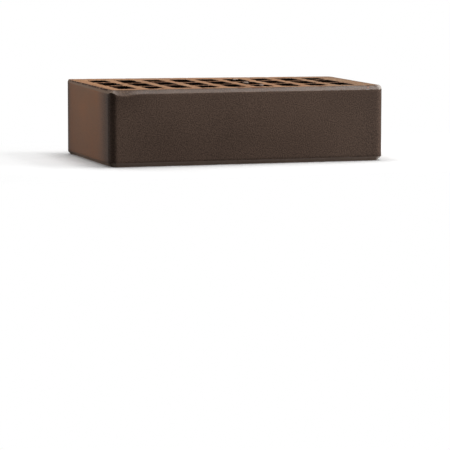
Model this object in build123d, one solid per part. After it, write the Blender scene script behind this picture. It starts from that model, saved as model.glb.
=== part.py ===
"""Perforated clay facing brick of the single standard format, lying on a bed face.

The column of clay is pushed through a die, so the section is the plan: a rounded
rectangle with rows of slots, straight through the height. The cross webs between the
slots are staggered from one column to the next, and the whole pattern sits a little
nearer to the left end. Both bed faces have bevelled edges.
The origin is the middle of the lower bed face, with X along the length and Z up.
"""
import os

from build123d import *

# Outer sizes of the brick, in millimetres
LENGTH = 250.0
WIDTH = 120.0
HEIGHT = 65.0
CORNER_RADIUS = 7.0
BEVEL = 3.5

# Walls and webs that are left around the slots
LEFT_END_WALL = 14.0
RIGHT_END_WALL = 20.0
SIDE_WALL = 17.0
COLUMN_WEB = 8.5
CROSS_WEB = 6.0

# Pattern of the slots
COLUMN_COUNT = 9
ROW_SHARES = (0.38, 0.36, 0.26)
SLOT_CORNER_RADIUS = 2.5
CUT_OVERRUN = 5.0


def slot_width():
    """Width along X of each slot: what the end walls and the column webs leave."""
    clear = LENGTH - LEFT_END_WALL - RIGHT_END_WALL - (COLUMN_COUNT - 1) * COLUMN_WEB
    return clear / COLUMN_COUNT


def row_lengths():
    """Lengths along Y of the slots of one column, from the front to the back."""
    clear = WIDTH - 2 * SIDE_WALL - (len(ROW_SHARES) - 1) * CROSS_WEB
    return [share * clear for share in ROW_SHARES]


def slot_places():
    """Middle and length of every slot, with the rows turned round in every second column."""
    width = slot_width()
    places = []
    for column in range(COLUMN_COUNT):
        x = -LENGTH / 2 + LEFT_END_WALL + width / 2 + column * (width + COLUMN_WEB)
        lengths = row_lengths()
        if column % 2 == 1:
            lengths.reverse()
        front = -WIDTH / 2 + SIDE_WALL
        for length in lengths:
            places.append((x, front + length / 2, length))
            front += length + CROSS_WEB
    return places


def solid_block():
    """The brick without its slots: rounded upright corners and bevelled bed edges."""
    block = extrude(RectangleRounded(LENGTH, WIDTH, CORNER_RADIUS), amount=HEIGHT)
    bed_faces = block.faces().filter_by(Axis.Z)
    return chamfer(bed_faces.edges(), BEVEL)


def slot_cores():
    """The die's cores: one rounded bar for each slot, past both bed faces."""
    width = slot_width()
    plan = Sketch()
    for x, y, length in slot_places():
        plan += Pos(x, y) * RectangleRounded(width, length, SLOT_CORNER_RADIUS)
    below = Pos(0, 0, -CUT_OVERRUN)
    return extrude(below * plan, amount=HEIGHT + 2 * CUT_OVERRUN)


def brick():
    """The whole brick as one solid."""
    body = solid_block() - slot_cores()
    body.label = "brick"
    return body


if __name__ == "__main__":
    os.makedirs("parts", exist_ok=True)
    export_step(brick(), "parts/brick.step")
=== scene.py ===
"""Looks of the perforated clay brick.

A detailed mesh stands for the plain solid: wire-cut bed faces with drag marks, slots with
torn rims, a bevel that is a little uneven, and a flash-fired skin on the sides.
Lengths are in metres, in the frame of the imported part.
"""

import math

import bmesh
import bpy
import numpy as np
from mathutils import Matrix, Vector
from mathutils.geometry import delaunay_2d_cdt


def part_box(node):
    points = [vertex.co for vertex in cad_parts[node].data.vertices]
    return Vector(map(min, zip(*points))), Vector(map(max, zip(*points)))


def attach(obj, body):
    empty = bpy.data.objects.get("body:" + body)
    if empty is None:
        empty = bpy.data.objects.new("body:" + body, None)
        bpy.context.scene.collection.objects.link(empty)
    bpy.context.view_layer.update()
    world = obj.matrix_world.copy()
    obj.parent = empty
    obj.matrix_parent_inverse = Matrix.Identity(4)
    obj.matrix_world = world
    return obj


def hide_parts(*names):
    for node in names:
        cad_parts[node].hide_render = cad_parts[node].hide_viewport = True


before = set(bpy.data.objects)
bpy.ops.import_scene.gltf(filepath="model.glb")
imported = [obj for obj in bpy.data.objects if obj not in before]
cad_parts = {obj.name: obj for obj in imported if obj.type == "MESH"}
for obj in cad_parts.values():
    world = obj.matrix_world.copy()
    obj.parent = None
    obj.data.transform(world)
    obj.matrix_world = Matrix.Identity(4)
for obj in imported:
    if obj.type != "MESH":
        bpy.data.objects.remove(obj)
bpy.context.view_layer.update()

MM = 0.001
NODE = "brick"

# Sizes that repeat the part's own, and the mesh steps
CORNER_RADIUS = 7.0 * MM
SLOT_CORNER_RADIUS = 2.5 * MM
OUTLINE_STEP = 1.25 * MM
RIM_STEP = 0.9 * MM
BED_STEP = 1.35 * MM
BED_JITTER_SHARE = 0.25
BED_CLEAR_SHARE = 0.62
ARC_STEPS = 10
SIDE_RINGS = 30
SAME_PLACE = 1e-6
SAME_POINT = 1e-9
SHARP_ANGLE = math.radians(50)

# Seeds of the noise and of the random draws
SIDE_SEED = 3
EDGE_SEED = 5
BEVEL_SEED = 9
UPPER_BED_SEED = 11
LOWER_BED_SEED = 31
SLOT_SEED = 100
UPPER_RIM_SEED_STEP = 40
CLOD_SEED = 300
CRUMB_SEED = 400
UPPER_GRID_SEED = 7
LOWER_GRID_SEED = 8
LOOSE_SEED = 21

# Irregular shape of the fired clay
CUT_TWIST = 1.8 * MM
COLUMN_LEAN = 0.9 * MM
SIDE_WAVE = 0.18 * MM
SIDE_WAVE_SIZE = 28.0 * MM
EDGE_WAVE = 0.45 * MM
EDGE_WAVE_SIZE = 9.0 * MM
CORNER_WORN_SHARE = 0.25
CORNER_SOFT = 0.7 * MM
CORNER_SOFT_REACH = 9.0 * MM
FLAT_BEVEL_SHARES = ((1.0, 0.0), (0.94, 0.08), (0.74, 0.30), (0.52, 0.52),
                     (0.29, 0.74), (0.06, 0.95), (0.0, 1.05))
ROUND_BEVEL_SHARES = ((1.0, 0.0), (0.76, 0.05), (0.51, 0.16), (0.31, 0.31),
                      (0.16, 0.51), (0.05, 0.76), (0.0, 1.05))
LEFT_INSET_FADE_SHARE = 0.68
LEFT_DROP_FADE_SHARE = 0.30
RIGHT_INSET_SHARE = 0.7
BACK_INSET_SHARE = 0.4
CORNER_DROP_SHARE = 0.45
CORNER_DROP_PLACE = 14.0 * MM
CORNER_DROP_REACH = 8.0 * MM
CORNER_CUT_SHARE = 0.4
BACK_CORNER_SHARP_SHARE = 0.5
EDGE_RELIEF_SHARE = 0.2
BEVEL_PIT = 0.12 * MM
BEVEL_PIT_SIZE = 1.7 * MM
END_FADE = 28.0 * MM
BACK_FADE_SHARE = 0.25
RUBBED_SHARE = 0.45
RUBBED_REACH = 1.8 * MM
# Painted shade on the skin: darker on the headers towards the corners, reaching further on the back half,
# and in the crease where the lower bevel meets the sides
CORNER_SHADE_REACH = 8.0 * MM
BACK_CORNER_SHADE_REACH = 14.0 * MM
HEADER_CORNER_SHADE_SHARE = 0.5
BACK_CORNER_SHADE_SHARE = 0.5
CREASE_SHADE_SHARE = 0.4
CHIP_PLACE = 111.0 * MM
CHIP_SIZE = 0.9 * MM
CHIP_DEPTH = 0.5 * MM
EDGE_TEARS = ((-41.0 * MM, -36.0 * MM), (-8.5 * MM, -2.0 * MM), (3.5 * MM, 15.5 * MM))
# Reach of the darker band along the outer edge of the cut face: partly a stain, partly painted shade that
# dims the lit lip
EDGE_STAIN_AND_SHADE = 4.0 * MM
BED_WAVE = 0.15 * MM
BED_WAVE_SIZE = 55.0 * MM
DRAG_DEPTH = 0.18 * MM
DRAG_WIDTH = 3.2 * MM
DRAG_LENGTH = 45.0 * MM
PIT_DEPTH = 0.9 * MM
PIT_SIZE = 4.5 * MM
PIT_SHARE = 0.60
LIP_DROP = 0.3 * MM
NEAR_LIP_DROP = 1.7 * MM
FRONT_LIP_SHARE = 0.3
FRONT_MARGIN = 22.0 * MM
LIP_REACH = 1.5 * MM
RIM_TEAR = 2.0 * MM
RIM_TEAR_SIZE = 3.2 * MM
RIM_FINE = 0.8 * MM
RIM_FINE_SIZE = 1.3 * MM
TEAR_START_SHARE = 0.35
UNEVEN_SHARES = (0.6, 0.4)
FAR_RIM_CHIP = 1.8 * MM
SIDE_RIM_CHIP = 0.5 * MM
NEAR_RIM_CHIP = 0.25 * MM
SIDE_RIM_TEAR_SHARE = 0.55
NEAR_RIM_TEAR_SHARE = 0.25
TORN_DEPTH_SHARES = (0.002, 0.008)
SIDE_TORN_DEPTH = 0.25 * MM
RING_DEPTHS = [0.3 * MM, 0.7 * MM, 1.2 * MM, 1.8 * MM, 3.0 * MM, 13.0 * MM]

# Loose clay: clods stuck to the far rims of one column of slots, from the front row to the back row,
# and crumbs along all the upper rims
CLOD_COLUMN = 5
ROW_COUNT = 3
CLOD_SIZES = (3.8 * MM, 7.0 * MM, 4.8 * MM)
CLOD_WIDTH_SHARES = (0.69, 0.62, 0.80)
CLOD_LUMPS = 6
LUMP_SWELL_SHARES = (0.65, 0.7)
LUMP_NOISE_SHARE = 0.6
CLOD_LEVEL = 3
CRUMB_LEVEL = 2
LUMP_SHARES = (0.32, 0.26, 0.15)
LUMP_SIZE_SHARES = (0.7, 1.1)
LUMP_SIDE_SHARES = (-0.3, 0.3)
LUMP_BACK_SHARES = (-0.22, 0.05)
LUMP_SINK_SHARES = (0.0, 0.12)
CRUMB_COUNT = 170
CRUMB_SIZES = (0.5 * MM, 1.3 * MM)
CRUMB_FORM_SHARES = (0.6, 1.0)
CRUMB_TONE_SHARES = (0.0, 0.5)

# Places of the colour changes: from where to where along the length X or the height Z, and how strong. On
# the skin these are painted shade: low on the front face, high at its left end, low on the headers and over
# the right end. The right corner place is where the painted highlight of the right-hand edges sets in. On
# the bed they give painted light at the left end and greyer painted shade at the right end.
LOW_SHADE_Z = (50.0 * MM, 20.0 * MM)
LOW_SHADE_RIGHT_X = (85.0 * MM, 50.0 * MM)
LOW_SHADE_LEFT_X = (-110.0 * MM, -75.0 * MM)
LOW_SHADE_SHARE = 0.27
HIGH_SHADE_Z = (40.0 * MM, 55.0 * MM)
HIGH_SHADE_X = (-85.0 * MM, -115.0 * MM)
HIGH_SHADE_SHARE = 0.38
HEADER_LOW_SHADE_Z = (45.0 * MM, 8.0 * MM)
HEADER_LOW_SHADE_SHARE = 0.22
RIGHT_SHADE_X = (50.0 * MM, 110.0 * MM)
RIGHT_SHADE_SHARE = 0.26
RIGHT_CORNER_X = (90.0 * MM, 110.0 * MM)
BED_PAINTED_LIGHT_X = (-70.0 * MM, -115.0 * MM)
BED_PAINTED_SHADE_X = (50.0 * MM, 120.0 * MM)

# Colours that more than one material uses, as screen values. The rubbed edges turn greyer towards the right
# end, where their colour is a painted highlight.
RUBBED_LEFT = (106, 89, 76)
RUBBED_HIGHLIGHT_RIGHT = (120, 113, 108)
# Painted highlight on the bevels where they turn round the corners, greyer at the right end
CORNER_HIGHLIGHT_LEFT = (132, 115, 102)
CORNER_HIGHLIGHT_RIGHT = (170, 161, 154)
# Colour of the painted shade at the corners and in the lower crease
PAINTED_SHADE_COLOUR = (40, 32, 28)
TORN_CLAY = (84, 50, 36)
TORN_NOISE = 170.0

# Stage and light: how far from the brick's middle the floor starts to glow and turns plain white, and
# the lamps' azimuth and elevation in degrees, distance, width and height in metres, and power in watts
FLOOR_HALF = 3.0
FLOOR_GAP = 0.05 * MM
FLOOR_DULL = (0.18, 0.18, 0.18, 1)
FLOOR_PALE = (0.85, 0.85, 0.85, 1)
WHITE = (1, 1, 1, 1)
GLOW_FROM = 0.115
GLOW_TO = 0.15
GLOW_STRENGTH = 0.22
WHITE_TO = 0.32
WORLD_LIGHT = 0.14
LAMPS = {
    "overhead": (150, 82, 1.2, 0.9, 0.9, 9.5),
    "left_back": (-147, 4, 1.4, 0.6, 0.25, 18.3),
    "right_front": (61, 6, 2.0, 0.7, 0.3, 39.5),
    "bevel_sheen": (70, 57, 0.64, 0.12, 0.12, 1.0),
}

# Camera, as found from the edges of the brick in the 450 pixel picture
PICTURE_PIXELS = 450
SENSOR_WIDTH = 36.0
FOCAL_PIXELS = 3307.4
CAMERA_AZIMUTH = math.radians(-20.573)
CAMERA_ELEVATION = math.radians(7.226)
CAMERA_ROLL = math.radians(0.715)
CAMERA_DISTANCE = 2872.4 * MM
CAMERA_RIGHT = 1.85 * MM
CAMERA_UP = -59.43 * MM
CAMERA_REACH = 20.0


# Noise and outlines

def lattice_noise(points, size, seed):
    """Smooth noise from 0 to 1 at points, with features of the given size along each axis."""
    points = np.asarray(points, float) / np.asarray(size, float)
    cell = np.floor(points).astype(np.int64)
    part = points - cell
    part = part * part * (3 - 2 * part)
    total = np.zeros(len(points))
    dimensions = points.shape[1]
    for corner in range(2 ** dimensions):
        weight = np.ones(len(points))
        code = np.full(len(points), seed * 7919 + 17, np.int64)
        for axis in range(dimensions):
            bit = corner >> axis & 1
            weight *= part[:, axis] if bit else 1 - part[:, axis]
            code = (code * 73856093 ^ (cell[:, axis] + bit) * 19349663) & 0x7FFFFFFF
            code = (code ^ code >> 13) * 1274126177 & 0x7FFFFFFF
        total += weight * (code & 0xFFFF) / 0xFFFF
    return total


def rounded_outline(low, high, radius, step):
    """Points and outward normals of a rounded rectangle, counter-clockwise."""
    points, normals = [], []
    corners = [(high[0], low[1], -90), (high[0], high[1], 0), (low[0], high[1], 90), (low[0], low[1], 180)]
    inner = [(x - math.copysign(radius, x - (low[0] + high[0]) / 2),
              y - math.copysign(radius, y - (low[1] + high[1]) / 2), angle) for x, y, angle in corners]
    for i, (x, y, angle) in enumerate(inner):
        for k in range(ARC_STEPS):
            turn = math.radians(angle + 90 * k / ARC_STEPS)
            normals.append((math.cos(turn), math.sin(turn)))
            points.append((x + radius * normals[-1][0], y + radius * normals[-1][1]))
        turn = math.radians(angle + 90)
        outward = (math.cos(turn), math.sin(turn))
        after = inner[(i + 1) % len(inner)]
        start = np.array([x, y]) + radius * np.array(outward)
        end = np.array(after[:2]) + radius * np.array(outward)
        count = max(1, round(float(np.linalg.norm(end - start)) / step))
        for k in range(count):
            points.append(tuple(start + (end - start) * k / count))
            normals.append(outward)
    return np.array(points), np.array(normals)


def inside(polygon, points):
    """Which points lie inside a closed polygon."""
    x, y = points[:, 0], points[:, 1]
    result = np.zeros(len(points), bool)
    for a, b in zip(polygon, np.roll(polygon, -1, axis=0)):
        if a[1] == b[1]:
            continue
        crosses = (a[1] > y) != (b[1] > y)
        result ^= crosses & (x < a[0] + (y - a[1]) * (b[0] - a[0]) / (b[1] - a[1]))
    return result


def bed_loops(node):
    """Corners of the boundary loops of the node's upper bed face, the outer one first."""
    mesh = bmesh.new()
    mesh.from_mesh(node.data)
    bmesh.ops.remove_doubles(mesh, verts=mesh.verts, dist=SAME_PLACE)
    top = max(v.co.z for v in mesh.verts)
    bed = {f for f in mesh.faces if all(top - v.co.z < SAME_PLACE for v in f.verts)}
    edges = [e for e in mesh.edges if sum(f in bed for f in e.link_faces) == 1]
    ways = {}
    for edge in edges:
        for a, b in (edge.verts, reversed(edge.verts)):
            ways.setdefault(a, []).append(b)
    loops = []
    while ways:
        stack, members = [next(iter(ways))], []
        while stack:
            vertex = stack.pop()
            if vertex in ways:
                members.append(vertex.co.xy[:])
                stack.extend(ways.pop(vertex))
        loops.append((np.min(members, axis=0), np.max(members, axis=0)))
    mesh.free()
    return sorted(loops, key=lambda loop: -np.prod(loop[1] - loop[0]))


# The brick's own mesh

class ClayMesh:
    """Collects the points, faces and surface values of one mesh."""

    ZONES = ("skin", "bevel", "bed", "slot", "crumb")
    VALUES = ("end", "turn", "corner", "burnt", "bevel", "line", "chip", "edge", "rim", "depth", "tone")

    def __init__(self):
        self.points = []
        self.faces = []
        self.zones = []
        self.values = {name: [] for name in self.VALUES}

    def add_points(self, points, **values):
        first = len(self.points)
        self.points.extend(map(tuple, points))
        for name, kept in self.values.items():
            value = values.get(name, 0.0)
            kept.extend(np.broadcast_to(value, len(points)).tolist())
        return np.arange(first, first + len(points))

    def add_faces(self, faces, zone):
        """Faces of one zone, or of one zone each."""
        self.faces.extend(faces)
        self.zones.extend(self.ZONES.index(name) for name in np.broadcast_to(zone, len(faces)))

    def add_band(self, lower, upper, zone, inward=False):
        """Faces between two rings that run counter-clockwise."""
        quads = np.stack([lower, np.roll(lower, -1), np.roll(upper, -1), upper], axis=1)
        if inward:
            quads = quads[:, ::-1]
        self.add_faces(quads.tolist(), zone)

    def to_object(self, name, materials):
        mesh = bpy.data.meshes.new(name)
        mesh.from_pydata(leaned(self.points), [], self.faces)
        for kept_name, kept in self.values.items():
            attribute = mesh.attributes.new(kept_name, "FLOAT", "POINT")
            attribute.data.foreach_set("value", kept)
        for zone in self.ZONES:
            mesh.materials.append(materials[zone])
        mesh.polygons.foreach_set("material_index", self.zones)
        mesh.shade_smooth()
        mesh.set_sharp_from_angle(angle=SHARP_ANGLE)
        mesh.update()
        piece = bpy.data.objects.new(name, mesh)
        bpy.context.scene.collection.objects.link(piece)
        return piece


low, high = (np.array(corner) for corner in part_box(NODE))
SIZE = high - low
loops = bed_loops(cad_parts[NODE])
BEVEL = loops[0][0][0] - low[0]
slots = sorted(loops[1:], key=lambda loop: (round(loop[0][0], 4), loop[0][1]))


def leaned(points):
    """The points moved with the clay column, whose upper end leans to the left inside the part's box."""
    points = np.array(points)
    middle = (low + high) / 2
    share = (points[:, 2] - middle[2]) / SIZE[2]
    narrowed = (points[:, 0] - middle[0]) * (1 - COLUMN_LEAN / SIZE[0])
    points[:, 0] = middle[0] + narrowed - COLUMN_LEAN * share
    return points


def bed_height(points, upper):
    """Height of the ideal bed face: the upper one was cut a little out of true."""
    if not upper:
        return np.full(len(points), low[2])
    share = (points - low[:2]) / SIZE[:2]
    return high[2] - CUT_TWIST * share[:, 0] * share[:, 1]


def bed_seed(upper):
    """Seed of a bed face's relief."""
    return UPPER_BED_SEED if upper else LOWER_BED_SEED


def bed_relief(points, lip, seed):
    """How far the cut face lies under its highest points, by waves, drag marks, pits and the given lip."""
    wave = BED_WAVE * lattice_noise(points, BED_WAVE_SIZE, seed)
    drag = DRAG_DEPTH * lattice_noise(points, (DRAG_WIDTH, DRAG_LENGTH), seed + 1)
    pits = np.maximum(0, lattice_noise(points, PIT_SIZE, seed + 2) - PIT_SHARE) / (1 - PIT_SHARE)
    return wave + drag + PIT_DEPTH * pits ** 2 + lip * lattice_noise(points, RIM_TEAR_SIZE, seed + 3)


def near_lip(points):
    """Further drop of the near slot rims there, which the wire pulled down. It is small in the front row."""
    front = points[:, 1] < low[1] + FRONT_MARGIN
    return (NEAR_LIP_DROP - LIP_DROP) * np.where(front, FRONT_LIP_SHARE, 1.0)


def torn_rim(outline, normals, seed):
    """How far the torn clay reaches into a slot along its rim, and how deep. The far rims are torn most."""
    tear = lattice_noise(outline, RIM_TEAR_SIZE, seed)
    fine = lattice_noise(outline, RIM_FINE_SIZE, seed + 1)
    far = np.maximum(0, normals[:, 1])
    near = np.maximum(0, -normals[:, 1])
    side = 1 - far - near
    raggedness = far + SIDE_RIM_TEAR_SHARE * side + NEAR_RIM_TEAR_SHARE * near
    chip = FAR_RIM_CHIP * far + SIDE_RIM_CHIP * side + NEAR_RIM_CHIP * near
    tear = np.maximum(0, tear - TEAR_START_SHARE) / (1 - TEAR_START_SHARE)
    reach = raggedness * (RIM_TEAR * tear + RIM_FINE * fine) - chip
    shallow, deep = (share * np.ptp(outline[:, 1]) for share in TORN_DEPTH_SHARES)
    uneven = UNEVEN_SHARES[0] * lattice_noise(outline, RIM_TEAR_SIZE, seed + 2)
    uneven += UNEVEN_SHARES[1] * lattice_noise(outline, RIM_FINE_SIZE, seed + 3)
    torn_depth = SIDE_TORN_DEPTH + far * (shallow + (deep - shallow) * uneven - SIDE_TORN_DEPTH)
    return reach, torn_depth


def bevel_shape(outline, normals, upper):
    """Inset, drop and roundness of a bevel. The upper left one fades backwards, the upper right is round."""
    inset = np.full(len(outline), BEVEL)
    drop = np.full(len(outline), BEVEL)
    roundness = np.zeros(len(outline))
    if upper:
        back = (outline[:, 1] - low[1]) / SIZE[1]
        left = np.maximum(0, -normals[:, 0])
        roundness = np.maximum(0, normals[:, 0])
        behind = np.maximum(0, normals[:, 1])
        inset *= 1 - LEFT_INSET_FADE_SHARE * left * back + (RIGHT_INSET_SHARE - 1) * roundness
        inset *= 1 - (1 - BACK_INSET_SHARE) * behind
        drop *= 1 - LEFT_DROP_FADE_SHARE * left * back
        near_drop = np.hypot(outline[:, 0] - low[0] - CORNER_DROP_PLACE, outline[:, 1] - low[1])
        drop *= 1 + CORNER_DROP_SHARE * np.exp(-(near_drop / CORNER_DROP_REACH) ** 2)
        drop *= 1 - CORNER_CUT_SHARE * 2 * left * np.maximum(0, -normals[:, 1])
    near_back = np.hypot(outline[:, 0] - low[0], outline[:, 1] - high[1])
    sharp = 1 - BACK_CORNER_SHARP_SHARE * np.exp(-(near_back / CORNER_DROP_REACH) ** 2)
    return inset * sharp, drop * sharp, roundness


def from_corners(outline):
    """Distance along the flat sides from the nearest rounded corner, nothing on the corner itself."""
    inner = SIZE[:2] / 2 - CORNER_RADIUS - np.abs(outline - (low[:2] + high[:2]) / 2)
    return np.maximum(0, inner.max(axis=1))


def edge_torn(points):
    """1 where the front edge of the upper bed face is torn, along the length."""
    return 1.0 * sum((points[:, 0] > start) & (points[:, 0] < stop) for start, stop in EDGE_TEARS)


def add_side(clay):
    """Rings from the lower to the upper bed edge, round the outside. Returns the two end rings."""
    outline, normals = rounded_outline(low[:2], high[:2], CORNER_RADIUS, OUTLINE_STEP)
    flat = from_corners(outline)
    across = normals[:, 0] ** 2
    front_half = outline[:, 1] < (low[1] + high[1]) / 2
    end = across * np.clip(flat / np.where(front_half, END_FADE, END_FADE * BACK_FADE_SHARE), 0, 1)
    turn = np.clip(2 * across, 0, 1)
    corner = 4 * across * (1 - across)
    # Painted shade on the headers, deepest at the corners and reaching further on the back half
    burnt = HEADER_CORNER_SHADE_SHARE * np.exp(-flat / CORNER_SHADE_REACH)
    burnt = across ** 3 * np.where(front_half, burnt, BACK_CORNER_SHADE_SHARE * np.exp(-flat / BACK_CORNER_SHADE_REACH))
    left = np.maximum(0, -normals[:, 0])
    front = np.maximum(0, -normals[:, 1])
    soft = CORNER_SOFT * left * across * np.exp(-(flat / CORNER_SOFT_REACH) ** 2)
    soft += CORNER_WORN_SHARE * left * CORNER_RADIUS * (1 - 1 / np.abs(normals).sum(axis=1))
    soft *= front_half
    lengthwise = across < 0.5
    rings = []

    def add_ring(inset, height, shade_share=1.0, crease=0.0, **values):
        wave = SIDE_WAVE * lattice_noise(np.column_stack([outline, height]), SIDE_WAVE_SIZE, SIDE_SEED)
        points = np.column_stack([outline - normals * (inset + soft + wave)[:, None], height])
        rings.append(clay.add_points(points, end=end, turn=turn, corner=corner,
                                     burnt=burnt * shade_share + crease, **values))

    def bevel_rings(upper):
        inset, drop, roundness = bevel_shape(outline, normals, upper)
        wobble = EDGE_WAVE * (lattice_noise(outline, EDGE_WAVE_SIZE, EDGE_SEED + upper) - 0.5)
        face = bed_height(outline, upper)
        relief = bed_relief(outline - normals * inset[:, None], np.zeros(len(outline)), bed_seed(upper))
        relief *= EDGE_RELIEF_SHARE
        chip = upper * front * np.exp(-((outline[:, 0] - CHIP_PLACE) / CHIP_SIZE) ** 2)
        torn = edge_torn(outline) * front
        last = len(FLAT_BEVEL_SHARES) - 1
        for k, (flat_shares, round_shares) in enumerate(zip(FLAT_BEVEL_SHARES, ROUND_BEVEL_SHARES)):
            inset_share, drop_share = (a + (b - a) * roundness for a, b in zip(flat_shares, round_shares))
            down = drop * drop_share + (relief if k == 0 else 0)
            height = face - down if upper else face + down
            on_bevel = 0 < k < last
            middle = math.sin(math.pi * k / last)
            pit = lattice_noise(np.column_stack([outline, height]), BEVEL_PIT_SIZE, BEVEL_SEED)
            pit *= BEVEL_PIT * on_bevel
            dent = CHIP_DEPTH * chip * middle
            # The left part of the line is a painted shadow under the lip of the cut face along the upper
            # left edge; the front part marks torn clay
            line = upper * ((k in (1, 2)) * left * np.clip(flat / CORNER_RADIUS, 0, 1) + (k < 2) * torn)
            yield ((inset + wobble) * inset_share + pit + dent, height), {
                "bevel": float(on_bevel), "line": line, "chip": chip * middle ** 3, "edge": float(k == 0),
                # Painted shade: none on the upper bevel rings, and a crease of it on the front and back
                # where the lower bevel meets the side
                "shade_share": 0.0 if upper and k < last else 1.0,
                "crease": 0.0 if upper or k < last else CREASE_SHADE_SHARE * np.abs(normals[:, 1])}

    lower = list(bevel_rings(False))
    upper = list(bevel_rings(True))
    for ring, values in lower:
        add_ring(*ring, **values)
    for k in range(1, SIDE_RINGS):
        share = k / SIDE_RINGS
        height = lower[-1][0][1] * (1 - share) + upper[-1][0][1] * share
        rubbed = RUBBED_SHARE * across * np.exp(-(upper[-1][0][1] - height) / RUBBED_REACH)
        add_ring(np.zeros(len(outline)), height, bevel=rubbed)
    for ring, values in reversed(upper):
        add_ring(*ring, **values)
    bevel_bands = len(FLAT_BEVEL_SHARES) - 1
    for k, (below, above) in enumerate(zip(rings, rings[1:])):
        on_bevel = k < bevel_bands or k >= len(rings) - 1 - bevel_bands
        clay.add_band(below, above, np.where(lengthwise, "bevel", "skin") if on_bevel else "skin")
    return rings[0], rings[-1]


def add_slot(clay, corner_low, corner_high, seed):
    """The walls of one slot, with torn rims. Returns its lower and upper rim."""
    outline, normals = rounded_outline(corner_low, corner_high, SLOT_CORNER_RADIUS, RIM_STEP)
    rims = []
    rings = []
    for upper in (False, True):
        reach, torn_depth = torn_rim(outline, normals, seed + UPPER_RIM_SEED_STEP * upper)
        face = bed_height(outline, upper)
        side = []
        for depth in [0.0] + RING_DEPTHS:
            kept = np.exp(-(depth / torn_depth) ** 2)
            place = outline - normals * (reach * kept)[:, None]
            height = face - depth if upper else face + depth
            if depth == 0:
                lip = LIP_DROP + near_lip(place) * np.maximum(0, -normals[:, 1])
                drop = bed_relief(place, lip, bed_seed(upper))
                height = height - drop if upper else height + drop
            side.append(clay.add_points(np.column_stack([place, height]), rim=1.0,
                                        depth=np.maximum(0, depth - torn_depth) / RING_DEPTHS[-1]))
        rims.append(side[0])
        rings += side[::-1] if upper else side
    for below, above in zip(rings, rings[1:]):
        clay.add_band(below, above, "slot", inward=True)
    return rims


def add_bed(clay, outer, rims, upper):
    """The cut face between the outer edge and the slot rims."""
    all_points = np.array(clay.points)
    outlines = [all_points[ring, :2] for ring in [outer] + rims]
    ring_ids = np.concatenate([outer] + rims)
    random = np.random.default_rng(UPPER_GRID_SEED if upper else LOWER_GRID_SEED)
    columns = np.arange(low[0], high[0], BED_STEP)
    rows = np.arange(low[1], high[1], BED_STEP * math.sqrt(0.75))
    grid = np.array([(x + BED_STEP / 2 * (k % 2), y) for k, y in enumerate(rows) for x in columns])
    grid += random.uniform(-BED_JITTER_SHARE, BED_JITTER_SHARE, grid.shape) * BED_STEP
    edge_points = np.concatenate(outlines)
    rim_points = np.concatenate(outlines[1:])
    edge_distance = nearest(grid, edge_points)
    keep = inside(outlines[0], grid) & (edge_distance > BED_CLEAR_SHARE * BED_STEP)
    for outline in outlines[1:]:
        near = np.all((grid > outline.min(0)) & (grid < outline.max(0)), axis=1)
        keep[near] &= ~inside(outline, grid[near])
    grid = grid[keep]
    rim_distance = nearest(grid, rim_points)
    near_points = np.concatenate([outline[outline[:, 1] < outline[:, 1].min() + SLOT_CORNER_RADIUS]
                                  for outline in outlines[1:]])
    lip = LIP_DROP * np.exp(-rim_distance / LIP_REACH)
    lip += near_lip(grid) * np.exp(-nearest(grid, near_points) / LIP_REACH)
    drop = bed_relief(grid, lip, bed_seed(upper))
    height = bed_height(grid, upper) + (-drop if upper else drop)
    edge = np.exp(-nearest(grid, outlines[0]) / EDGE_STAIN_AND_SHADE)
    grid_ids = clay.add_points(np.column_stack([grid, height]), edge=edge,
                               rim=np.exp(-rim_distance / LIP_REACH),
                               line=upper * (grid[:, 1] < 0) * edge * edge_torn(grid))
    ids = np.concatenate([ring_ids, grid_ids])
    flat = np.concatenate([edge_points, grid])
    edges, first = [], 0
    for outline in outlines:
        count = len(outline)
        edges += [(first + k, first + (k + 1) % count) for k in range(count)]
        first += count
    _, _, faces, origin, _, _ = delaunay_2d_cdt([Vector(p) for p in flat], edges, [], 0, SAME_POINT)
    source = np.array([given[0] for given in origin])
    triangles = source[np.array(faces)]
    middle = flat[triangles].mean(axis=1)
    solid = inside(outlines[0], middle)
    for outline in outlines[1:]:
        near = np.all((middle > outline.min(0)) & (middle < outline.max(0)), axis=1)
        solid[near] &= ~inside(outline, middle[near])
    triangles = ids[triangles[solid]]
    if not upper:
        triangles = triangles[:, ::-1]
    clay.add_faces(triangles.tolist(), "bed")


def nearest(points, targets, chunk=2000):
    """Distance from each point to the nearest target."""
    parts = []
    for start in range(0, len(points), chunk):
        gap = points[start:start + chunk, None, :] - targets[None, :, :]
        parts.append(np.sqrt((gap ** 2).sum(axis=2).min(axis=1)))
    return np.concatenate(parts)


def add_lump(crumbs, centre, radii, seed, level, tone):
    """An uneven lump of clay that stays under the top of the brick."""
    ball = bmesh.new()
    bmesh.ops.create_icosphere(ball, subdivisions=level, radius=1.0)
    points = np.array([vertex.co[:] for vertex in ball.verts])
    faces = np.array([[vertex.index for vertex in face.verts] for face in ball.faces])
    ball.free()
    least, further = LUMP_SWELL_SHARES
    swell = least + further * lattice_noise(points + seed, LUMP_NOISE_SHARE, seed)
    points = centre + points * swell[:, None] * radii
    points[:, 2] = np.minimum(points[:, 2], high[2])
    ids = crumbs.add_points(points, tone=tone)
    crumbs.add_faces(ids[faces].tolist(), "crumb")


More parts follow.
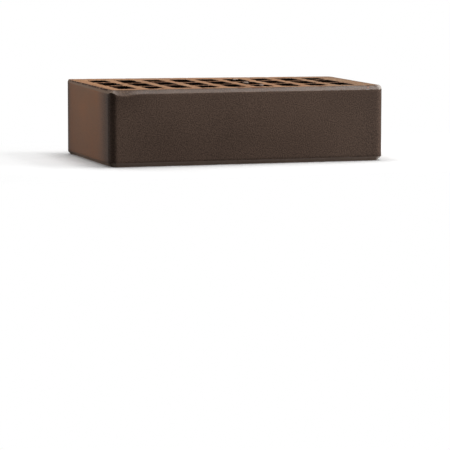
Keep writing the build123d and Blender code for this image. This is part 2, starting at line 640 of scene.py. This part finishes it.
def build_crumbs(rim_points, materials):
    """Pale clods on the far rims of one column of slots, and small crumbs left by the wire on the rims."""
    crumbs = ClayMesh()
    random = np.random.default_rng(LOOSE_SEED)
    for row, (size, width_share) in enumerate(zip(CLOD_SIZES, CLOD_WIDTH_SHARES)):
        slot_low, slot_high = slots[CLOD_COLUMN * ROW_COUNT + row]
        place = np.array([slot_low[0] + width_share * (slot_high[0] - slot_low[0]), slot_high[1]])
        surface = bed_height(place[None], True)[0]
        for k in range(CLOD_LUMPS):
            radii = size * np.array(LUMP_SHARES) * random.uniform(*LUMP_SIZE_SHARES)
            shift = size * np.array([random.uniform(*LUMP_SIDE_SHARES), random.uniform(*LUMP_BACK_SHARES)])
            sink = radii[2] + size * random.uniform(*LUMP_SINK_SHARES)
            centre = np.array([*(place + shift), surface - sink])
            add_lump(crumbs, centre, radii, CLOD_SEED + 10 * row + k, CLOD_LEVEL, 1.0)
    for k, chosen in enumerate(random.choice(len(rim_points), CRUMB_COUNT, replace=False)):
        radii = random.uniform(*CRUMB_SIZES) / 2 * random.uniform(*CRUMB_FORM_SHARES, 3)
        centre = rim_points[chosen] - (0, 0, radii[2] / 3)
        add_lump(crumbs, centre, radii, CRUMB_SEED + k, CRUMB_LEVEL, random.uniform(*CRUMB_TONE_SHARES))
    return crumbs.to_object("clay_crumbs", materials)


def build_brick(materials):
    """The whole brick as one closed mesh, and the places of its upper slot rims."""
    clay = ClayMesh()
    lower_edge, upper_edge = add_side(clay)
    lower_rims, upper_rims = [], []
    for k, (corner_low, corner_high) in enumerate(slots):
        lower_rim, upper_rim = add_slot(clay, corner_low, corner_high, SLOT_SEED + k)
        lower_rims.append(lower_rim)
        upper_rims.append(upper_rim)
    add_bed(clay, lower_edge, lower_rims, False)
    add_bed(clay, upper_edge, upper_rims, True)
    return clay.to_object("clay_body", materials), np.array(clay.points)[np.concatenate(upper_rims)]


# Materials

def new_material(name):
    material = bpy.data.materials.new(name)
    material.use_nodes = True
    material.node_tree.nodes.clear()
    return material, material.node_tree


def add(tree, kind, inputs=None, **settings):
    """A shader node with its settings and inputs, which are values or other nodes' sockets."""
    node = tree.nodes.new(kind)
    for key, value in settings.items():
        setattr(node, key, value)
    for key, value in (inputs or {}).items():
        if isinstance(value, bpy.types.NodeSocket):
            tree.links.new(value, node.inputs[key])
        else:
            node.inputs[key].default_value = value
    return node


def rgb(red, green, blue):
    """A colour given as screen values from 0 to 255."""
    def linear(value):
        value /= 255
        return value / 12.92 if value <= 0.04045 else ((value + 0.055) / 1.055) ** 2.4
    return (linear(red), linear(green), linear(blue), 1.0)


def object_place(tree):
    return add(tree, "ShaderNodeTexCoord").outputs["Object"]


def noise(tree, place, scale, detail=2.0, stretch=None):
    """Noise of that many features to the metre, from 0 to 1."""
    if stretch:
        place = add(tree, "ShaderNodeMapping", {"Vector": place, "Scale": stretch}).outputs["Vector"]
    inputs = {"Vector": place, "Scale": scale, "Detail": detail}
    return add(tree, "ShaderNodeTexNoise", inputs).outputs["Fac"]


def ramp(tree, value, low_in, high_in, low_out=0.0, high_out=1.0):
    """A value moved from one range to another, and kept in it."""
    inputs = {"Value": value, "From Min": low_in, "From Max": high_in, "To Min": low_out, "To Max": high_out}
    return add(tree, "ShaderNodeMapRange", inputs).outputs["Result"]


def mix(tree, share, first, second, how="MIX"):
    node = add(tree, "ShaderNodeMix", data_type="RGBA", blend_type=how)
    for socket, value in ((node.inputs[0], share), (node.inputs[6], first), (node.inputs[7], second)):
        if isinstance(value, bpy.types.NodeSocket):
            tree.links.new(value, socket)
        else:
            socket.default_value = value
    return node.outputs[2]


def math_node(tree, operation, first, second):
    return add(tree, "ShaderNodeMath", {0: first, 1: second}, operation=operation).outputs["Value"]


def attribute(tree, name):
    return add(tree, "ShaderNodeAttribute", attribute_name=name).outputs["Fac"]


def line_share(tree, place, low_in, high_in):
    """Where an edge is torn at the front, and where a painted shadow line runs under the upper left edge,
    broken up by noise.
    """
    broken = ramp(tree, noise(tree, place, TORN_NOISE), low_in, high_in)
    return math_node(tree, "MULTIPLY", attribute(tree, "line"), broken)


def finish_material(tree, colour, roughness, height, bump_distance, specular):
    """A rough clay surface with its colour and relief."""
    bump = add(tree, "ShaderNodeBump", {"Height": height, "Strength": 1.0, "Distance": bump_distance})
    surface = add(tree, "ShaderNodeBsdfPrincipled", {"Base Color": colour, "Roughness": roughness,
                                                    "Normal": bump.outputs["Normal"],
                                                    "Specular IOR Level": specular})
    add(tree, "ShaderNodeOutputMaterial", {"Surface": surface.outputs["BSDF"]})


def skin_material():
    """Flash-fired skin: dark umber, redder on the headers, with painted shade towards the corners, in the
    lower crease and in broad gradients low, high and over the right end, greyer on their bevels, with a
    painted highlight round the corners.
    """
    material, tree = new_material("flash_fired_skin")
    place = object_place(tree)
    cloud = noise(tree, place, 14.0, 3.0)
    patch = noise(tree, place, 26.0, 2.0)
    grain = noise(tree, place, 1050.0, 1.0)
    fine = noise(tree, place, 2100.0, 2.0)
    end = attribute(tree, "end")
    colour = mix(tree, ramp(tree, cloud, 0.3, 0.7), rgb(86, 70, 61), rgb(93, 76, 66))
    red = mix(tree, ramp(tree, patch, 0.35, 0.65), rgb(113, 80, 58), rgb(121, 81, 55))
    colour = mix(tree, end, colour, red)
    axes = add(tree, "ShaderNodeSeparateXYZ", {"Vector": place}).outputs
    # Painted shade: the skin is darker low on the front face, high at the left end of the front, and low on
    # the headers
    painted_shade = rgb(56, 44, 38)
    lower = ramp(tree, axes["Z"], *LOW_SHADE_Z, 0.0, LOW_SHADE_SHARE)
    lower = math_node(tree, "MULTIPLY", lower, ramp(tree, axes["X"], *LOW_SHADE_RIGHT_X))
    lower = math_node(tree, "MULTIPLY", lower, ramp(tree, axes["X"], *LOW_SHADE_LEFT_X))
    colour = mix(tree, lower, colour, painted_shade)
    upper = ramp(tree, axes["Z"], *HIGH_SHADE_Z, 0.0, HIGH_SHADE_SHARE)
    upper = math_node(tree, "MULTIPLY", upper, ramp(tree, axes["X"], *HIGH_SHADE_X))
    upper = math_node(tree, "MULTIPLY", upper, ramp(tree, end, 0.0, 0.3, 1.0, 0.0))
    colour = mix(tree, upper, colour, painted_shade)
    header_low = ramp(tree, axes["Z"], *HEADER_LOW_SHADE_Z, 0.0, HEADER_LOW_SHADE_SHARE)
    colour = mix(tree, math_node(tree, "MULTIPLY", end, header_low), colour, painted_shade)
    # Painted shade over the right end
    colour = mix(tree, ramp(tree, axes["X"], *RIGHT_SHADE_X, 0.0, RIGHT_SHADE_SHARE), colour, rgb(56, 49, 46))
    right = ramp(tree, axes["X"], *RIGHT_CORNER_X)
    rubbed = math_node(tree, "MULTIPLY", attribute(tree, "bevel"), 0.75)
    # The rubbed edge colour, which becomes a painted highlight towards the right end
    colour = mix(tree, rubbed, colour, mix(tree, right, rgb(*RUBBED_LEFT), rgb(*RUBBED_HIGHLIGHT_RIGHT)))
    # Painted highlight on the rubbed edges round the corners, greyer at the right end
    corner_highlight = mix(tree, right, rgb(*CORNER_HIGHLIGHT_LEFT), rgb(*CORNER_HIGHLIGHT_RIGHT))
    colour = mix(tree, math_node(tree, "MULTIPLY", attribute(tree, "corner"), rubbed), colour, corner_highlight)
    # Painted shade towards the corners and in the lower crease
    colour = mix(tree, attribute(tree, "burnt"), colour, rgb(*PAINTED_SHADE_COLOUR))
    # Mostly a painted shadow line under the lip along the upper left edge, dark and broken
    torn = line_share(tree, place, 0.42, 0.5)
    colour = mix(tree, torn, colour, rgb(46, 29, 22))
    contrast = ramp(tree, end, 0.0, 1.0, 1.0, 0.35)
    shade = math_node(tree, "MULTIPLY", ramp(tree, grain, 0.3, 0.7, -0.4, 0.4), contrast)
    colour = mix(tree, 1.0, colour, grey(tree, math_node(tree, "ADD", shade, 1.0)), "MULTIPLY")
    speck = math_node(tree, "MULTIPLY", ramp(tree, fine, 0.64, 0.74, 0.0, 0.35), contrast)
    colour = mix(tree, speck, colour, rgb(38, 30, 27))
    relief = math_node(tree, "ADD", grain, math_node(tree, "MULTIPLY", fine, 0.5))
    relief = math_node(tree, "MULTIPLY", relief, contrast)
    finish_material(tree, colour, ramp(tree, grain, 0.3, 0.7, 0.82, 0.95), relief, 0.00012, 0.05)
    return material


def bevel_material():
    """Long bevels rubbed smooth before firing: greyer, with a soft sheen, pale grit and small chips, a
    painted highlight where they turn round the corners, and painted shade where the lower ones meet the
    sides.
    """
    material, tree = new_material("rubbed_bevel")
    place = object_place(tree)
    cloud = noise(tree, place, 30.0, 3.0)
    grain = noise(tree, place, 900.0, 2.0)
    fine = noise(tree, place, 1900.0, 2.0)
    axes = add(tree, "ShaderNodeSeparateXYZ", {"Vector": place}).outputs
    right = ramp(tree, axes["X"], *RIGHT_CORNER_X)
    pale = ramp(tree, axes["Z"], low[2] + 2 * BEVEL, low[2] + BEVEL, 0.0, 0.8)
    colour = mix(tree, ramp(tree, cloud, 0.3, 0.7), rgb(77, 58, 46), rgb(86, 66, 52))
    colour = mix(tree, ramp(tree, grain, 0.52, 0.68, 0.0, 0.75), colour, rgb(119, 96, 80))
    colour = mix(tree, ramp(tree, grain, 0.32, 0.45, 0.5, 0.0), colour, rgb(52, 43, 38))
    colour = mix(tree, ramp(tree, fine, 0.62, 0.72, 0.0, 0.5), colour, rgb(46, 37, 32))
    colour = mix(tree, pale, colour, rgb(108, 92, 81))
    turn = attribute(tree, "turn")
    # The rubbed edge colour, which becomes a painted highlight towards the right end
    colour = mix(tree, turn, colour, mix(tree, right, rgb(*RUBBED_LEFT), rgb(*RUBBED_HIGHLIGHT_RIGHT)))
    # Painted highlight where the bevels turn round the corners
    lit = math_node(tree, "MULTIPLY", attribute(tree, "corner"), attribute(tree, "bevel"))
    colour = mix(tree, lit, colour, mix(tree, right, rgb(*CORNER_HIGHLIGHT_LEFT), rgb(*CORNER_HIGHLIGHT_RIGHT)))
    torn = line_share(tree, place, 0.3, 0.45)
    colour = mix(tree, torn, colour, rgb(*TORN_CLAY))
    colour = mix(tree, ramp(tree, attribute(tree, "chip"), 0.35, 0.6), colour, rgb(122, 80, 60))
    # Painted shade towards the corners and in the lower crease
    colour = mix(tree, attribute(tree, "burnt"), colour, rgb(*PAINTED_SHADE_COLOUR))
    relief = math_node(tree, "ADD", grain, math_node(tree, "MULTIPLY", fine, 0.5))
    gloss = ramp(tree, grain, 0.3, 0.7, 0.34, 0.46)
    dulled = math_node(tree, "MAXIMUM", gloss, ramp(tree, turn, 0.0, 1.0, 0.3, 0.85))
    dulled = math_node(tree, "MAXIMUM", dulled, torn)
    finish_material(tree, colour, dulled, relief, 0.00008, 0.3)
    return material


def grey(tree, value):
    inputs = {"Red": value, "Green": value, "Blue": value}
    return add(tree, "ShaderNodeCombineColor", inputs).outputs["Color"]


def bed_material():
    """Wire-cut terracotta: dragged streaks along the width, pale grit and dark pits, a darker outer edge
    that is partly stain and partly painted shade, painted light at the left end and painted shade at the
    right end.
    """
    material, tree = new_material("wire_cut_terracotta")
    place = object_place(tree)
    cloud = noise(tree, place, 20.0, 3.0)
    streak = noise(tree, place, 330.0, 3.0, (1.0, 0.08, 1.0))
    grain = noise(tree, place, 700.0, 3.0)
    fine = noise(tree, place, 2200.0, 2.0)
    colour = mix(tree, ramp(tree, cloud, 0.35, 0.65), rgb(163, 122, 90), rgb(174, 135, 103))
    colour = mix(tree, ramp(tree, streak, 0.45, 0.7, 0.0, 0.45), colour, rgb(144, 100, 74))
    colour = mix(tree, ramp(tree, grain, 0.62, 0.72, 0.0, 0.45), colour, rgb(190, 157, 128))
    colour = mix(tree, ramp(tree, fine, 0.64, 0.74, 0.0, 0.4), colour, rgb(92, 62, 48))
    rim = math_node(tree, "MULTIPLY", attribute(tree, "rim"), ramp(tree, grain, 0.35, 0.6, 0.05, 0.4))
    colour = mix(tree, rim, colour, rgb(116, 82, 62))
    # Darker outer edge: partly a stain, partly painted shade on the lit lip
    stain_and_shade = math_node(tree, "MULTIPLY", attribute(tree, "edge"), ramp(tree, cloud, 0.35, 0.6, 0.3, 0.8))
    colour = mix(tree, stain_and_shade, colour, rgb(122, 88, 66))
    torn = line_share(tree, place, 0.3, 0.45)
    colour = mix(tree, torn, colour, rgb(*TORN_CLAY))
    along = add(tree, "ShaderNodeSeparateXYZ", {"Vector": place}).outputs["X"]
    # Painted light towards the left end, and greyer painted shade towards the right end
    left_painted_light = mix(tree, ramp(tree, along, *BED_PAINTED_LIGHT_X), (1.0, 1.0, 1.0, 1.0), (1.13, 1.08, 1.03, 1.0))
    right_painted_shade = mix(tree, ramp(tree, along, *BED_PAINTED_SHADE_X), (0.97, 0.97, 0.97, 1.0), (0.72, 0.81, 0.91, 1.0))
    colour = mix(tree, 1.0, mix(tree, 1.0, colour, left_painted_light, "MULTIPLY"), right_painted_shade, "MULTIPLY")
    relief = math_node(tree, "ADD", grain, fine)
    relief = math_node(tree, "ADD", math_node(tree, "MULTIPLY", streak, 1.2), relief)
    finish_material(tree, colour, 0.85, relief, 0.0003, 0.1)
    return material


def slot_material():
    """Slot walls: terracotta at the torn rim, a nearly black painted shade just under it, and brown further
    in.
    """
    material, tree = new_material("slot_wall")
    place = object_place(tree)
    grain = noise(tree, place, 520.0, 3.0)
    lines = noise(tree, place, 260.0, 2.0, (1.0, 1.0, 0.06))
    depth = attribute(tree, "depth")
    colour = mix(tree, ramp(tree, grain, 0.35, 0.65), rgb(122, 84, 62), rgb(163, 120, 91))
    # Painted shade: nearly black just under the torn rim, where the walls lie in shadow, and brown again
    # deeper in
    colour = mix(tree, ramp(tree, depth, 0.0, 0.008), colour, rgb(70, 45, 35))
    colour = mix(tree, ramp(tree, depth, 0.004, 0.02), colour, rgb(26, 19, 17))
    colour = mix(tree, ramp(tree, depth, 0.35, 1.0), colour, rgb(104, 76, 60))
    colour = mix(tree, 1.0, colour, grey(tree, ramp(tree, lines, 0.3, 0.7, 0.75, 1.2)), "MULTIPLY")
    finish_material(tree, colour, 0.85, math_node(tree, "ADD", grain, lines), 0.0003, 0.05)
    return material


def crumb_material():
    """Loose clay, from reddish crumbs to pale grey clods."""
    material, tree = new_material("loose_clay")
    place = object_place(tree)
    grain = noise(tree, place, 700.0, 3.0)
    fine = noise(tree, place, 2200.0, 2.0)
    colour = mix(tree, attribute(tree, "tone"), rgb(124, 84, 62), rgb(165, 146, 134))
    colour = mix(tree, 1.0, colour, grey(tree, ramp(tree, grain, 0.3, 0.7, 0.65, 1.2)), "MULTIPLY")
    finish_material(tree, colour, 0.9, math_node(tree, "ADD", grain, fine), 0.0003, 0.05)
    return material


# Stage, light and camera

def white_for_camera(tree):
    """1 for rays that show the background: camera, glossy and transmission rays."""
    path = add(tree, "ShaderNodeLightPath")
    seen = math_node(tree, "MAXIMUM", path.outputs["Is Camera Ray"], path.outputs["Is Glossy Ray"])
    return math_node(tree, "MAXIMUM", seen, path.outputs["Is Transmission Ray"])


def add_floor():
    """A white floor that keeps the brick's shadow, and is plain white further off."""
    mesh = bpy.data.meshes.new("floor")
    corners = [(x * FLOOR_HALF, y * FLOOR_HALF, 0) for x, y in ((-1, -1), (1, -1), (1, 1), (-1, 1))]
    mesh.from_pydata(corners, [], [(0, 1, 2, 3)])
    floor = bpy.data.objects.new("floor", mesh)
    floor.location.z = low[2] - FLOOR_GAP
    bpy.context.scene.collection.objects.link(floor)
    material, tree = new_material("pale_floor")
    dull = add(tree, "ShaderNodeBsdfDiffuse", {"Color": FLOOR_DULL})
    pale = add(tree, "ShaderNodeBsdfDiffuse", {"Color": FLOOR_PALE})
    widened = add(tree, "ShaderNodeVectorMath", {0: object_place(tree), 1: (1, SIZE[0] / SIZE[1], 0)},
                  operation="MULTIPLY")
    positive = add(tree, "ShaderNodeVectorMath", {0: widened.outputs["Vector"]}, operation="ABSOLUTE")
    axes = add(tree, "ShaderNodeSeparateXYZ", {"Vector": positive.outputs["Vector"]})
    away = math_node(tree, "MAXIMUM", axes.outputs["X"], axes.outputs["Y"])
    rise = ramp(tree, away, GLOW_FROM, GLOW_TO, 0.0, GLOW_STRENGTH)
    glow = add(tree, "ShaderNodeEmission", {"Color": WHITE, "Strength": rise})
    near = add(tree, "ShaderNodeAddShader", {0: pale.outputs["BSDF"], 1: glow.outputs["Emission"]})
    white = add(tree, "ShaderNodeEmission", {"Color": WHITE, "Strength": 1.0})
    far = ramp(tree, away, GLOW_TO, WHITE_TO)
    shown = add(tree, "ShaderNodeMixShader", {0: far, 1: near.outputs["Shader"],
                                             2: white.outputs["Emission"]})
    both = add(tree, "ShaderNodeMixShader", {0: white_for_camera(tree), 1: dull.outputs["BSDF"],
                                            2: shown.outputs["Shader"]})
    add(tree, "ShaderNodeOutputMaterial", {"Surface": both.outputs["Shader"]})
    mesh.materials.append(material)


def add_world():
    """White where it is seen, and a weak even light elsewhere."""
    world = bpy.data.worlds.new("studio")
    world.use_nodes = True
    tree = world.node_tree
    tree.nodes.clear()
    strength = ramp(tree, white_for_camera(tree), 0.0, 1.0, WORLD_LIGHT, 1.0)
    sky = add(tree, "ShaderNodeBackground", {"Color": WHITE, "Strength": strength})
    add(tree, "ShaderNodeOutputWorld", {"Surface": sky.outputs["Background"]})
    bpy.context.scene.world = world


def add_light(name, azimuth, elevation, distance, width, height, power):
    """A soft box that looks at the brick from that side."""
    a, e = math.radians(azimuth), math.radians(elevation)
    away = Vector((math.sin(a) * math.cos(e), -math.cos(a) * math.cos(e), math.sin(e)))
    lamp = bpy.data.lights.new(name, "AREA")
    lamp.shape = "RECTANGLE"
    lamp.size = width
    lamp.size_y = height
    lamp.energy = power
    light = bpy.data.objects.new(name, lamp)
    light.location = Vector((low + high) / 2) + away * distance
    light.rotation_euler = away.to_track_quat("Z", "Y").to_euler()
    bpy.context.scene.collection.objects.link(light)


def add_camera():
    """The camera at the picture's place, with its small roll."""
    a, e = CAMERA_AZIMUTH, CAMERA_ELEVATION
    back = Vector((math.sin(a) * math.cos(e), -math.cos(a) * math.cos(e), math.sin(e)))
    right = Vector((math.cos(a), math.sin(a), 0))
    up = back.cross(right)
    c, s = math.cos(CAMERA_ROLL), math.sin(CAMERA_ROLL)
    axes = Matrix((right * c + up * s, up * c - right * s, back)).transposed().to_4x4()
    axes.translation = back * CAMERA_DISTANCE + right * CAMERA_RIGHT + Vector((0, 0, CAMERA_UP))
    data = bpy.data.cameras.new("camera")
    data.sensor_width = SENSOR_WIDTH
    data.lens = SENSOR_WIDTH * FOCAL_PIXELS / PICTURE_PIXELS
    data.clip_end = CAMERA_REACH
    camera = bpy.data.objects.new("camera", data)
    camera.matrix_world = axes
    bpy.context.scene.collection.objects.link(camera)
    bpy.context.scene.camera = camera


zone_materials = {"skin": skin_material(), "bevel": bevel_material(), "bed": bed_material(),
                  "slot": slot_material(), "crumb": crumb_material()}
brick, rim_points = build_brick(zone_materials)
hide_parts(NODE)
crumbs = build_crumbs(rim_points, zone_materials)
for piece in (brick, crumbs):
    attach(piece, "root")

add_floor()
add_world()
for lamp_name, lamp_values in LAMPS.items():
    add_light(lamp_name, *lamp_values)
add_camera()
bpy.context.scene.view_settings.view_transform = "Standard"
